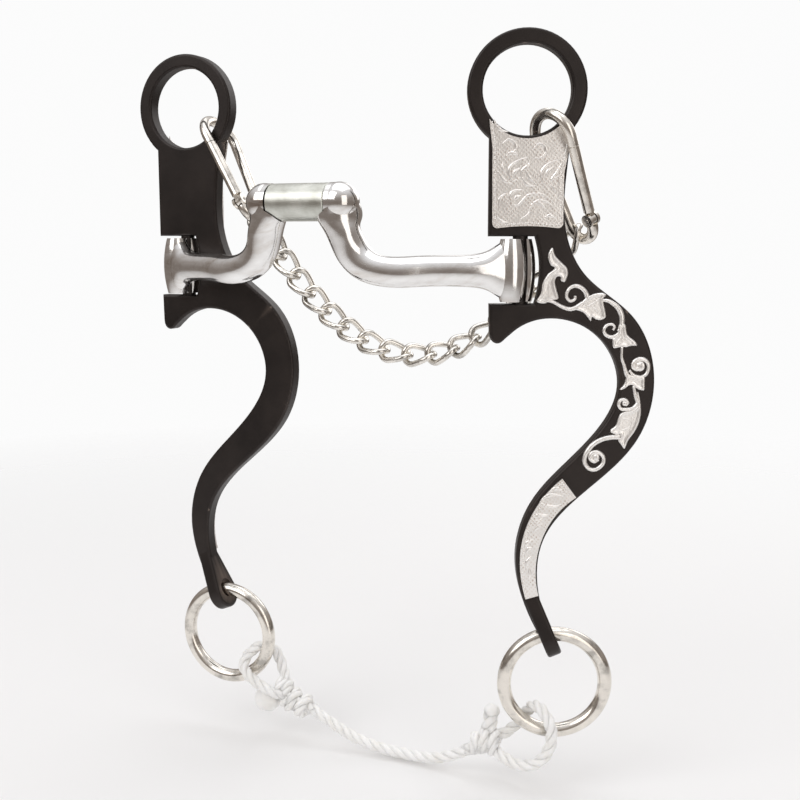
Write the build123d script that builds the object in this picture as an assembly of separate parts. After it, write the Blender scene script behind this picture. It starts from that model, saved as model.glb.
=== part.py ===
from build123d import *
import math
import os

# A loose-cheek western curb bit, hanging with its curb chain and a tie cord in place.
# Millimetres. +X runs from the left cheek to the right cheek, -Y is the front of the
# mouthpiece, +Z is up. The origin is midway between the two cheek hinge axes.

# ---- driving dimensions ----------------------------------------------------------------
mouth_width = 127.0            # between the two hinge axes (a 5 inch mouth)
right_cheek_angle = 25.0       # direction of the right cheek plate about +Z, from +X
left_cheek_angle = 3.0         # direction of the left cheek plate about +Z, from +X

plate_thickness = 5.6
edge_round = 0.9
head_ring_outer = 18.6         # radius
head_ring_hole = 13.9          # radius
head_ring_at = (1.4, 55.6)     # (along the plate, up) from the hinge
plate_front = -10.2
notch_half_height = 10.6
post_radius = 2.4
slot_radius_mid = 6.5
slot_radius_end = 4.9

silver_thickness = 0.8
vine_thickness = 0.9
silver_gap = 1.0               # black border between a silver plate and the ring hole
silver_corner = 1.6
stem_width = 2.0

lug_at = (11.2, -121.8)        # centre of the rein ring eye's lug
lug_radius = 6.2
lug_thickness = 4.8
lug_taper = 16.0
eye_at = (10.2, -120.4)
eye_radius = 3.4

rein_ring_radius = 16.85       # to the middle of the wire
rein_wire = 2.35               # radius
rein_ring_at = (13.6, -137.3)

hinge_half_height = 9.8
hinge_outer_mid = 4.9
hinge_outer_end = 3.6
hinge_bore = 2.85
hinge_slit = 1.5
slit_angle = -50.0
tee_at = (-1.0, -5.5)          # middle of the mouthpiece's T end, from the hinge axis
tee_radius_mid = 4.7
tee_radius_end = 3.4

barrel_length = 21.0
barrel_radius = 6.0
barrel_at = (-27.5, 21.3)      # (y, z) of the barrel's axis
barrel_gap = 0.3
barrel_chamfer = 0.3
pin_radius = 2.2
pin_clearance = 0.2
leg_radius = 6.1
corner_radius = 6.22           # of the ball that fills the port's corner
leg_x = 13.6

snap_wire = 1.75               # radius
snap_length = 42.0             # of the wire's centre line
snap_top_radius = 7.75
snap_foot_radius = 5.0
gate_top = -3.5                # height of the gate's joint, from the middle of the top arc
gate_gap = 0.25
gate_pin_radius = 0.6
gate_pin_play = 0.12
gate_fork_radius = 2.1
gate_tongue_radius = 1.8
gate_tongue_width = 1.6
gate_slot_radius = 2.6
gate_slot_width = 2.1

link_wire = 1.0                # radius
link_length = 12.6
link_width = 8.6
link_pitch = 8.3
link_count = 18
right_chain_pull = (-0.73, -0.1, -0.68)
left_chain_pull = (0.67, 0.1, -0.74)

cord_diameter = 3.6
cord_route = [
    (-14.6, 1.6, -161.8), (-6.0, 2.2, -166.6), (7.0, 1.2, -170.6), (22.0, 2.3, -172.2),
    (34.0, 1.4, -171.0), (41.6, 2.0, -168.4), (46.2, 1.7, -165.4),
]
left_loop_radius = 5.8
right_loop_radius = 6.6
knot_slack = 1.2            # between a loop's inside and the ring it goes round
lump_turn = (37, 21, 11)    # keeps each lump's seam off the loops


# ---- frames ----------------------------------------------------------------------------
class Cheek:
    """One side of the bit: where its plate stands and which face is the outer one."""

    def __init__(self, name, hinge_x, angle, outer):
        self.name = name
        self.hinge_x = hinge_x
        self.angle = angle
        self.outer = outer          # sign of the plate's own y on its outer face
        self.place = Location((hinge_x, 0, 0), (0, 0, angle))

    def point(self, u, y, z):
        """A point given in the plate's own frame, in the bit's frame."""
        turn = math.radians(self.angle)
        x = self.hinge_x + u * math.cos(turn) - y * math.sin(turn)
        return Vector(x, u * math.sin(turn) + y * math.cos(turn), z)

    def direction(self, u, y, z):
        turn = math.radians(self.angle)
        x = u * math.cos(turn) - y * math.sin(turn)
        return Vector(x, u * math.sin(turn) + y * math.cos(turn), z)


RIGHT = Cheek("right", mouth_width / 2, right_cheek_angle, -1)
LEFT = Cheek("left", -mouth_width / 2, left_cheek_angle, 1)


def flat(points):
    """Points (along the plate, up) on the plate's middle plane."""
    return [Vector(u, 0, z) for u, z in points]


def slab(face, thickness, middle=0.0):
    """A face drawn on the plate's middle plane, as a slab centred at y = middle."""
    return extrude(face, amount=thickness / 2, dir=(0, 1, 0), both=True).moved(
        Location((0, middle, 0)))


def disc(radius, at, thickness, middle=0.0):
    """A round slab whose axis is square to the plate."""
    centre = Plane(origin=(at[0], middle, at[1]), x_dir=(1, 0, 0), z_dir=(0, -1, 0))
    return extrude(centre * Circle(radius), amount=thickness / 2, both=True)


def barrel_turned(middle_radius, end_radius, half_height):
    """A solid of revolution about +Z with a bowed side."""
    side = ThreePointArc((end_radius, 0, -half_height), (middle_radius, 0, 0),
                         (end_radius, 0, half_height))
    rim = Polyline((end_radius, 0, half_height), (0, 0, half_height),
                   (0, 0, -half_height), (end_radius, 0, -half_height))
    return revolve(make_face(side + rim), Axis.Z)


# ---- shank -----------------------------------------------------------------------------
def shank_outline():
    """The plate below the headstall ring, down to the rein ring's eye."""
    back = Spline(*flat([
        (15.2, 44.0), (13.8, 28.0), (13.9, 14.0), (20.2, -1.0), (35.8, -14.4), (43.3, -33.0),
        (38.8, -54.0), (22.3, -71.4), (8.9, -87.6), (7.0, -101.0), (14.6, -121.5)]))
    foot = Line(*flat([(14.6, -121.5), (9.4, -122.6)]))
    inside = Spline(*flat([
        (9.4, -122.6), (2.2, -107.6), (-0.2, -94.0), (4.1, -77.2), (22.3, -56.2),
        (32.2, -37.0), (25.6, -21.6), (11.1, -15.3), (-3.0, -20.4)]))
    prong = Spline(*flat([(-3.0, -20.4), (-6.6, -23.2), (-9.6, -19.6)]),
                   tangents=[(-0.8, 0, -0.6), (0, 0, 1)])
    front = Polyline(*flat([(-9.6, -19.6), (plate_front, 12.0), (plate_front, 44.0),
                            (15.2, 44.0)]))
    return make_face(back + foot + inside + prong + front)


def lug_face(plane):
    """The eye's lug, a rounded end that tapers up into the shank."""
    neck = Pos(0, lug_taper) * Circle(plate_thickness / 2)
    return plane * make_hull(Circle(lug_radius).edges() + neck.edges())


def shank(cheek):
    plate = slab(shank_outline(), plate_thickness)
    ring = disc(head_ring_outer, head_ring_at, plate_thickness)
    hole = disc(head_ring_hole, head_ring_at, 2 * plate_thickness)
    body = plate + ring - hole
    notch = Pos(-6.0, 0, 0) * Box(13.0, 2 * plate_thickness, 2 * notch_half_height)
    slot = barrel_turned(slot_radius_mid, slot_radius_end, notch_half_height)
    body = body - notch - slot
    rounded = [edge for edge in body.edges().filter_by(
        lambda e: abs(abs(e.center().Y) - plate_thickness / 2) < 0.01)]
    body = fillet(rounded, edge_round)
    post = Cylinder(post_radius, 2 * notch_half_height + 3)
    along = Vector(0.39, 0, -0.921)
    lug_plane = Plane(origin=(lug_at[0], 0, lug_at[1]), x_dir=(0, 1, 0),
                      z_dir=Vector(0, 1, 0).cross(-along))
    lug = extrude(lug_face(lug_plane), amount=lug_thickness / 2, both=True)
    lug = fillet(lug.edges().filter_by(GeomType.CIRCLE), edge_round)
    tangent = Vector(rein_ring_at[1] - eye_at[1], 0, eye_at[0] - rein_ring_at[0]) * -1
    eye = Plane(origin=(eye_at[0], 0, eye_at[1]), z_dir=tangent) * Circle(eye_radius)
    body = body + post + lug - extrude(eye, amount=12, both=True)
    return cheek.place * body


# ---- silver on the shank's outer face --------------------------------------------------
def on_outer_face(cheek, face, thickness):
    return cheek.place * slab(face, thickness, cheek.outer * (plate_thickness + thickness) / 2)


def upper_plate(cheek):
    sides = Polyline(*flat([(13.0, 12.9), (13.0, 30.0), (15.6, 44.0), (13.0, 47.4),
                            (-10.6, 47.4), (-9.4, 38.0), (-9.2, 12.9)]))
    bottom = ThreePointArc(*flat([(-9.2, 12.9), (1.9, 13.8), (13.0, 12.9)]))
    body = slab(make_face(sides + bottom), silver_thickness)
    body = body - disc(head_ring_hole + silver_gap, head_ring_at, 5.0)
    corners = body.edges().filter_by(Axis.Y).group_by(Axis.Z)[0]
    body = fillet(corners, silver_corner)
    shift = cheek.outer * (plate_thickness + silver_thickness) / 2
    return cheek.place * body.moved(Location((0, shift, 0)))


def lower_plate(cheek):
    inner = Spline(*flat([(14.4, -67.0), (6.1, -76.6), (1.4, -89.6), (1.3, -98.6),
                          (3.1, -107.4)]))
    outer = Spline(*flat([(7.3, -106.2), (6.3, -96.4), (8.2, -87.0), (19.0, -73.2)]))
    ends = Line(*flat([(3.1, -107.4), (7.3, -106.2)])) + Line(*flat([(19.0, -73.2),
                                                                     (14.4, -67.0)]))
    return on_outer_face(cheek, make_face(inner + outer + ends), silver_thickness)


def leaf(points):
    return make_face(Spline(*flat(points), periodic=True))


def vine_overlay(cheek):
    """A leafed vine: one curving stem, five leaves and the scrolls between them."""
    stem = Spline((8.5, -8.6), (15.5, -12.4), (22.5, -11.4), (29.5, -9.4), (33.6, -17.0),
                  (33.4, -25.0), (35.4, -31.0), (37.4, -39.0), (38.0, -46.0), (33.0, -53.6),
                  (27.0, -54.6), (22.6, -58.4))
    stem_face = Plane.XZ * trace(stem, stem_width)
    leaves = [
        [(9.9, 7.0), (12.6, 2.7), (15.0, -1.2), (12.6, -3.2), (10.9, -4.4), (12.0, -9.0),
         (5.4, -9.6), (7.4, -3.4), (10.4, 0.4), (8.8, 4.2)],
        [(18.6, -12.6), (22.0, -9.0), (27.2, -7.6), (28.6, -9.4), (26.4, -15.2), (22.4, -13.6)],
        [(29.4, -21.6), (33.4, -20.6), (37.2, -22.0), (34.6, -25.4), (31.4, -24.8)],
        [(32.4, -33.0), (36.6, -32.2), (40.6, -33.4), (38.4, -38.0), (34.6, -38.4)],
        [(29.6, -54.4), (31.0, -47.6), (38.8, -43.6), (39.4, -50.0), (34.6, -57.0)],
    ]
    scrolls = [((17.2, -9.4), 2.6), ((29.0, -20.2), 2.4), ((38.0, -31.2), 2.8),
               ((34.4, -44.8), 2.6), ((24.6, -61.0), 3.4)]
    body = slab(stem_face, vine_thickness)
    for points in leaves:
        body = body + slab(leaf(points), vine_thickness)
    for at, radius in scrolls:
        body = body + disc(radius, at, vine_thickness)
    shift = cheek.outer * (plate_thickness + vine_thickness) / 2
    return cheek.place * body.moved(Location((0, shift, 0)))


# ---- mouthpiece ------------------------------------------------------------------------
def station(point, heading, radius, height=None):
    """A round or upright oval section of the bar, square to its heading."""
    plane = Plane(origin=point, x_dir=Vector(0, 1, 0).cross(Vector(heading)), z_dir=heading)
    return plane * Ellipse(height or radius, radius)


def mouthpiece_half(cheek):
    """Half a mouthpiece: hinge loop and T, swept bar, port leg and its face to the barrel."""
    side = 1 if cheek.hinge_x > 0 else -1
    tee = Vector(cheek.hinge_x + tee_at[0], tee_at[1], 0)
    bar_end = Vector(side * 27.5, -23.4, -0.3)
    run = (bar_end - tee).normalized()
    top = Vector(side * leg_x, barrel_at[0], barrel_at[1])
    stations = [
        station(top, (0, 0, -1), leg_radius),
        station((side * 13.9, -26.6, 13.2), (side * 0.14, 0.12, -0.98), 5.75),
        station((side * 16.2, -25.4, 7.0), (side * 0.55, 0.15, -0.82), 5.45),
        station((side * 21.0, -24.4, 1.7), (side * 0.88, 0.12, -0.45), 5.15),
        station(bar_end, (side * 0.93, 0.36, -0.03), 4.8),
        station(bar_end - run * 11, -run, 4.85),
        station(tee + run * 13, -run, 5.1),
        station(tee + run * 7.5, -run, 4.9, 6.2),
        station(tee + run * 3.0, -run, 4.2, 8.9),
        station(tee, -run, 3.6, 9.2),
    ]
    bar = loft(stations)
    head = Plane(origin=(side * (barrel_length / 2 + barrel_gap), barrel_at[0], barrel_at[1]),
                 z_dir=(side, 0, 0))
    cheek_of_leg = extrude(head * Circle(leg_radius), amount=leg_x - barrel_length / 2)
    body = bar + cheek_of_leg + Pos(*top) * Sphere(corner_radius)
    clear = Plane(origin=(0, barrel_at[0], barrel_at[1]), z_dir=(side, 0, 0))
    body = body - extrude(clear * Circle(barrel_radius + barrel_gap),
                          amount=barrel_length / 2 + barrel_gap)
    lobe = barrel_turned(tee_radius_mid, tee_radius_end, hinge_half_height)
    loop = barrel_turned(hinge_outer_mid, hinge_outer_end, hinge_half_height)
    body = body + Pos(tee.X, tee.Y, 0) * lobe + Pos(cheek.hinge_x, 0, 0) * loop
    bore = Cylinder(hinge_bore, 3 * hinge_half_height)
    slit = Rot(0, 0, slit_angle) * Pos(2.6, 0, 0) * Box(5.2, hinge_slit, 3 * hinge_half_height)
    body = body - Pos(cheek.hinge_x, 0, 0) * (bore + slit)
    pin_hole = pin_radius if side > 0 else pin_radius + pin_clearance
    return body - port_axis_cylinder(pin_hole, -leg_x - 1, leg_x + 1)


def port_axis_cylinder(radius, start, end):
    """A cylinder on the barrel's axis."""
    middle = Pos((start + end) / 2, barrel_at[0], barrel_at[1])
    return middle * Rot(0, 90, 0) * Cylinder(radius, end - start)


def port_barrel():
    outside = port_axis_cylinder(barrel_radius, -barrel_length / 2, barrel_length / 2)
    outside = chamfer(outside.edges().filter_by(GeomType.CIRCLE), barrel_chamfer)
    return outside - port_axis_cylinder(pin_radius + pin_clearance, -barrel_length,
                                        barrel_length)


def port_pin():
    return port_axis_cylinder(pin_radius, -leg_x - 0.5, leg_x + 1)


# ---- rein rings ------------------------------------------------------------------------
def rein_ring(cheek):
    centre = cheek.point(rein_ring_at[0], 0, rein_ring_at[1])
    plane = Plane(origin=centre, x_dir=cheek.direction(1, 0, 0),
                  z_dir=cheek.direction(0, 1, 0))
    return plane.location * Torus(rein_ring_radius, rein_wire)


# ---- snaps on the headstall rings ------------------------------------------------------
class Snap:
    """A wire snap: where its top arc's middle is, its hanging line and its gate side."""

    def __init__(self, cheek, middle, hang, gate_side):
        down = cheek.direction(*hang).normalized()
        aside = cheek.direction(*gate_side)
        aside = (aside - down * aside.dot(down)).normalized()
        self.cheek = cheek
        self.name = cheek.name + "_snap"
        self.down = down
        self.aside = aside
        self.plane = Plane(origin=cheek.point(*middle), x_dir=aside, z_dir=aside.cross(-down))
        self.foot_middle = self.plane.origin + down * (
            snap_length - snap_top_radius - snap_foot_radius)

    def pulled_at(self, pull):
        """The point of the foot's wire where a pull in this direction settles."""
        lean = (self.down * pull.dot(self.down) + self.aside * pull.dot(self.aside))
        return self.foot_middle + lean.normalized() * snap_foot_radius


SNAPS = [
    Snap(RIGHT, (9.8, -0.6, 41.2), (0.345, 0.200, -0.915), (0.57, -0.82, 0.05)),
    Snap(LEFT, (13.6, 1.85, 44.6), (0.522, -0.213, -0.826), (-0.16, -0.975, 0.15)),
]


def snap_side():
    """The two tangent points and the slope of the snap's straight sides."""
    drop = snap_length - snap_top_radius - snap_foot_radius
    slope = math.asin((snap_top_radius - snap_foot_radius) / drop)
    upper = (snap_top_radius * math.cos(slope), -snap_top_radius * math.sin(slope))
    lower = (snap_foot_radius * math.cos(slope), -drop - snap_foot_radius * math.sin(slope))
    return drop, slope, upper, lower


def snap_parts(snap):
    """The bent wire body, the sprung gate and the pin that the gate turns on."""
    drop, slope, upper, lower = snap_side()
    lean = math.degrees(slope)
    top = CenterArc((0, 0), snap_top_radius, -lean, 180 + 2 * lean)
    spine = Line((-upper[0], upper[1]), (-lower[0], lower[1]))
    foot = CenterArc((0, -drop), snap_foot_radius, 180 + lean, 180 - 2 * lean)
    joint = joint_point(gate_top)
    pin_at = joint_point(lower[1] + 2.0)
    nose = Line(upper, joint)
    heel = Line(lower, joint_point(lower[1] + 0.6))
    start = Plane(origin=(joint[0], joint[1], 0), z_dir=(math.sin(slope), math.cos(slope), 0))
    wire = Wire([nose.edge(), top.edge(), spine.edge(), foot.edge(), heel.edge()])
    body = sweep(start * Circle(snap_wire), path=wire)
    fork = Pos(pin_at[0], pin_at[1], 0) * Cylinder(gate_fork_radius, 2 * snap_wire + 0.6)
    clear = Pos(pin_at[0], pin_at[1], 0) * Cylinder(gate_slot_radius, gate_slot_width)
    body = body + fork - clear
    along = Vector(upper[0] - lower[0], upper[1] - lower[1], 0).normalized()
    gate_from = Vector(pin_at[0], pin_at[1], 0) + along * gate_slot_radius
    gate_to = Vector(joint[0], joint[1], 0) - along * gate_gap
    arm = extrude(Plane(origin=gate_from, z_dir=along) * Circle(snap_wire),
                  amount=(gate_to - gate_from).length)
    tongue = Pos(pin_at[0], pin_at[1], 0) * Cylinder(gate_tongue_radius, gate_tongue_width)
    web_middle = Vector(pin_at[0], pin_at[1], 0) + along * 1.6
    web = Plane(origin=web_middle, x_dir=along, z_dir=(0, 0, 1)).location * Box(3.2, 2.6, gate_tongue_width)
    bore = Pos(pin_at[0], pin_at[1], 0) * Cylinder(gate_pin_radius, 12)
    loose = Pos(pin_at[0], pin_at[1], 0) * Cylinder(gate_pin_radius + gate_pin_play, 12)
    gate = arm + tongue + web - loose
    pin = Pos(pin_at[0], pin_at[1], 0) * Cylinder(gate_pin_radius, 2 * snap_wire + 1.0)
    place = snap.plane.location
    return {
        snap.name + "_body": place * (body - bore),
        snap.name + "_gate": place * gate,
        snap.name + "_pin": place * pin,
    }


def joint_point(height):
    """A point on the gate side's centre line at a height in the snap's own plane."""
    upper, lower = snap_side()[2:]
    share = (height - upper[1]) / (lower[1] - upper[1])
    return (upper[0] + (lower[0] - upper[0]) * share, height)


# ---- curb chain ------------------------------------------------------------------------
def chain_length():
    hold = link_length / 2 - 2 * link_wire - snap_wire - 0.2
    return (link_count - 1) * link_pitch + 2 * hold, hold


def hang_points(start, end, sag, steps=400):
    """Points down a hanging line between two ends, drawn as a parabola."""
    points = []
    for step in range(steps + 1):
        share = step / steps
        point = start + (end - start) * share
        points.append(point - Vector(0, 0, 4 * sag * share * (1 - share)))
    return points


def line_length(points):
    return sum((b - a).length for a, b in zip(points, points[1:]))


def chain_line():
    """The chain's line, as deep as the chain's own length makes it."""
    start = SNAPS[0].pulled_at(Vector(*right_chain_pull))
    end = SNAPS[1].pulled_at(Vector(*left_chain_pull))
    length, hold = chain_length()
    low, high = 1.0, 90.0
    for _ in range(40):
        sag = (low + high) / 2
        if line_length(hang_points(start, end, sag)) < length:
            low = sag
        else:
            high = sag
    return hang_points(start, end, sag), hold


def point_along(points, distance):
    for a, b in zip(points, points[1:]):
        step = (b - a).length
        if distance <= step:
            return a + (b - a) * (distance / step), (b - a).normalized()
        distance -= step
    return points[-1], (points[-1] - points[-2]).normalized()


def chain_link():
    """One link about the origin, long along its own X."""
    straight = link_length / 2 - link_width / 2
    bend = link_width / 2 - link_wire
    path = Wire([
        Line((-straight, bend), (straight, bend)).edge(),
        CenterArc((straight, 0), bend, 90, -180).edge(),
        Line((straight, -bend), (-straight, -bend)).edge(),
        CenterArc((-straight, 0), bend, -90, -180).edge(),
    ])
    section = Plane(origin=(0, bend, 0), z_dir=(1, 0, 0)) * Circle(link_wire)
    return sweep(section, path=path)


def curb_links():
    points, hold = chain_line()
    one = chain_link()
    links = {}
    for index in range(link_count):
        middle, along = point_along(points, hold + index * link_pitch)
        level = Vector(0, 0, 1).cross(along).normalized()
        face = level if index % 2 else level.cross(along)
        plane = Plane(origin=middle, x_dir=along, z_dir=face)
        links[f"curb_link_{index + 1:02d}"] = plane.location * one
    return links


# ---- tie cord --------------------------------------------------------------------------
def tie_cord():
    corners = [Vector(*point) for point in cord_route]
    radii = []
    for a, b, c in zip(corners, corners[1:], corners[2:]):
        turn = math.radians((b - a).get_angle(c - b))
        radii.append(0.45 * min((b - a).length, (c - b).length) / math.tan(turn / 2))
    print("tie cord radii, mm:", [round(radius, 1) for radius in radii])
    path = FilletPolyline(*corners, radius=radii)
    section = Plane(origin=corners[0], z_dir=corners[1] - corners[0]) * Circle(cord_diameter / 2)
    tube = sweep(section, path=path)
    print("tie cord length, mm:", round(path.length, 1), "volume over section times length:",
          round(tube.volume / (path.length * math.pi * cord_diameter ** 2 / 4), 4))
    return tube


def half_loop(plane, radius, reach, side):
    """One half of a drop-shaped loop whose point is at the knot."""
    lean = math.degrees(math.acos(radius / reach))
    touch = (radius * math.cos(math.radians(lean)), side * radius * math.sin(math.radians(lean)))
    run = Line((reach, 0), touch)
    bend = CenterArc((0, 0), radius, side * lean, side * (180 - lean))
    path = Wire([run.edge(), bend.edge()])
    section = Plane(origin=(reach, 0, 0), z_dir=(touch[0] - reach, touch[1], 0))
    return plane.location * sweep(section * Circle(cord_diameter / 2), path=path)


def cord_knot(cheek, ring_angle, loop_radius, lumps):
    """A loop round the rein ring's wire, closed by the knot's lumps beside it."""
    turn = math.radians(ring_angle)
    u = rein_ring_at[0] + rein_ring_radius * math.cos(turn)
    z = rein_ring_at[1] + rein_ring_radius * math.sin(turn)
    wire_point = cheek.point(u, 0, z)
    first = Vector(*lumps[0][0])
    toward = (first - wire_point).normalized()
    square = cheek.direction(0, 1, 0)
    square = (square - toward * square.dot(toward)).normalized()
    shift = loop_radius - rein_wire - cord_diameter / 2 - knot_slack
    plane = Plane(origin=wire_point + toward * shift, x_dir=toward, z_dir=toward.cross(square))
    reach = (first - plane.origin).length
    body = half_loop(plane, loop_radius, reach, 1) + half_loop(plane, loop_radius, reach, -1)
    for at, radius in lumps:
        body = body + Pos(*at) * Rot(*lump_turn) * Sphere(radius)
    return body


def cord_knots():
    left = [((-28.6, 1.6, -156.6), 5.0), ((-20.4, 1.6, -160.6), 5.2)]
    right = [((54.2, 2.0, -161.6), 4.9), ((49.6, 1.4, -163.0), 3.4)]
    return {
        "left_cord_knot": cord_knot(LEFT, -28, left_loop_radius, left),
        "right_cord_knot": cord_knot(RIGHT, 236, right_loop_radius, right),
    }


# ---- every node ------------------------------------------------------------------------
def nodes():
    parts = {}
    for cheek in (RIGHT, LEFT):
        parts[cheek.name + "_shank"] = shank(cheek)
        parts[cheek.name + "_upper_plate"] = upper_plate(cheek)
        parts[cheek.name + "_lower_plate"] = lower_plate(cheek)
        parts[cheek.name + "_vine_overlay"] = vine_overlay(cheek)
        parts["mouthpiece_" + cheek.name] = mouthpiece_half(cheek)
        parts[cheek.name + "_rein_ring"] = rein_ring(cheek)
    parts["port_barrel"] = port_barrel()
    parts["port_pin"] = port_pin()
    for snap in SNAPS:
        parts.update(snap_parts(snap))
    parts.update(curb_links())
    parts["tie_cord"] = tie_cord()
    parts.update(cord_knots())
    return parts


os.makedirs("parts", exist_ok=True)
for name, solid in nodes().items():
    export_step(solid, f"parts/{name}.step")
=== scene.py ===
"""Looks for a loose-cheek western curb bit: metres, +Z up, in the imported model's frame."""

import math
from collections import namedtuple

import bpy
import numpy as np
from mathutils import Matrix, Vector
from mathutils.geometry import delaunay_2d_cdt


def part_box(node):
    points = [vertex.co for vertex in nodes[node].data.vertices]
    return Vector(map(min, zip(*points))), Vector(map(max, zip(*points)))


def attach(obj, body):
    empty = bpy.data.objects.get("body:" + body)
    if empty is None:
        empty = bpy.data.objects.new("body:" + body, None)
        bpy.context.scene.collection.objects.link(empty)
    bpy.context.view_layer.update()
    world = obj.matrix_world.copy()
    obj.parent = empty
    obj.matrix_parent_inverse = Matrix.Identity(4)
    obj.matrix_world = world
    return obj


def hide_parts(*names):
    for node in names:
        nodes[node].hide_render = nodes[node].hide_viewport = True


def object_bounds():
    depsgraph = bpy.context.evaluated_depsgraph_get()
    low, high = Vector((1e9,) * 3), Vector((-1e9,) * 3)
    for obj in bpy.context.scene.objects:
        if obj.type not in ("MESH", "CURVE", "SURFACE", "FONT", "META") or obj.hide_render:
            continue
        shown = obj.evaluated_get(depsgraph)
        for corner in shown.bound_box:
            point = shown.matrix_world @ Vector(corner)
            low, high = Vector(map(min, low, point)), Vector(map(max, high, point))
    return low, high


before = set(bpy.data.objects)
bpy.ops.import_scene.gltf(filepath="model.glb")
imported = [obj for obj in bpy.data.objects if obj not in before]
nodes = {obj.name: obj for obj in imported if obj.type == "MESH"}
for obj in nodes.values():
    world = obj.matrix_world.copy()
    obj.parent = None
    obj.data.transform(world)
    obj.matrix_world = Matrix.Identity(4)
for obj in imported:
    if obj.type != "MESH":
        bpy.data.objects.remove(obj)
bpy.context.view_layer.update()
scene = bpy.context.scene
MM = 0.001
TAU = 2 * math.pi

# ---- camera ------------------------------------------------------------------------------
camera = bpy.data.objects.new("camera", bpy.data.cameras.new("camera"))
camera.data.lens = 51.5
camera.data.sensor_width = 36.0
camera.data.clip_start = 0.01
camera.location = (0.18365, -0.34781, 0.01165)
camera.rotation_euler = (math.radians(81.7), 0.0, math.radians(25.0))
scene.collection.objects.link(camera)
scene.camera = camera
scene.view_settings.view_transform = "Standard"

# ---- the bit's own dimensions, in millimetres --------------------------------------------
# its hinge's x, its plate's turn in degrees, and which way its outer face looks
Cheek = namedtuple("Cheek", "hinge turn outer")
CHEEKS = {"right": Cheek(63.5, 25.0, -1), "left": Cheek(-63.5, 3.0, 1)}
PLATE_FACE = 2.8               # from a plate's middle to its outer face
SILVER_FACE = 3.6              # from a plate's middle to the face of its silver plates
CORD_RADIUS = 1.8
CORD_ROUTE = [                 # (x, y, z), the same as the cord's route in the CAD
    (-14.6, 1.6, -161.8), (-6.0, 2.2, -166.6), (7.0, 1.2, -170.6), (22.0, 2.3, -172.2),
    (34.0, 1.4, -171.0), (41.6, 2.0, -168.4), (46.2, 1.7, -165.4),
]
STEPS_PER_TURN = 18            # points in one turn of a knot
STRAND_STEP = 0.4              # between points along a strand of rope
ROPE_LAY = 12.5                # length of rope in which a strand goes once round
STRAND_OUT = 0.56              # of the rope's radius: a strand's middle from the rope's middle
STRAND_RADIUS = 0.58           # of the rope's radius
STRAND_SWELL = 0.04            # how much a strand swells and shrinks along its length
SWELL_RATE = 5.1               # radians of swelling per millimetre


def on_cheek(side, u, out, z):
    """A point u back along a cheek's plate, out from its middle, and z up, in the bit's frame."""
    cheek = CHEEKS[side]
    turn = math.radians(cheek.turn)
    y = cheek.outer * out
    return Vector((cheek.hinge + u * math.cos(turn) - y * math.sin(turn),
                   u * math.sin(turn) + y * math.cos(turn), z))


def outward(side):
    """The direction that a cheek's outer face looks in."""
    return (on_cheek(side, 0, 1, 0) - on_cheek(side, 0, 0, 0)).normalized()


# ---- mesh helpers ------------------------------------------------------------------------
def smooth_line(points, steps=6, closed=False):
    """Points along a Catmull-Rom line through the given ones."""
    points = [Vector(p) for p in points]
    count = len(points)
    out = []
    for i in range(count if closed else count - 1):
        if closed:
            a, b, c, d = (points[(i + k) % count] for k in (-1, 0, 1, 2))
        else:
            b, c = points[i], points[i + 1]
            a = points[i - 1] if i else b * 2 - c
            d = points[i + 2] if i + 2 < count else c * 2 - b
        for k in range(steps):
            t = k / steps
            out.append(0.5 * (2 * b + (c - a) * t + (2 * a - 5 * b + 4 * c - d) * t * t
                              + (3 * b - a - 3 * c + d) * t ** 3))
    if not closed:
        out.append(points[-1])
    return out


def tangents(path, closed=False):
    """The direction of a line at each of its points."""
    last = len(path) - 1
    found = []
    for i in range(len(path)):
        ahead = path[(i + 1) % len(path)] if closed else path[min(i + 1, last)]
        behind = path[i - 1] if closed else path[max(i - 1, 0)]
        found.append((ahead - behind).normalized())
    return found


def carried_sides(path, closed=False):
    """A sideways direction at each point, carried along the line without twisting."""
    runs = tangents(path, closed)
    side = runs[0].orthogonal().normalized()
    sides = [side]
    for a, b in zip(runs, runs[1:]):
        side = a.rotation_difference(b) @ side
        side = (side - b * side.dot(b)).normalized()
        sides.append(side)
    return runs, sides


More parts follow.
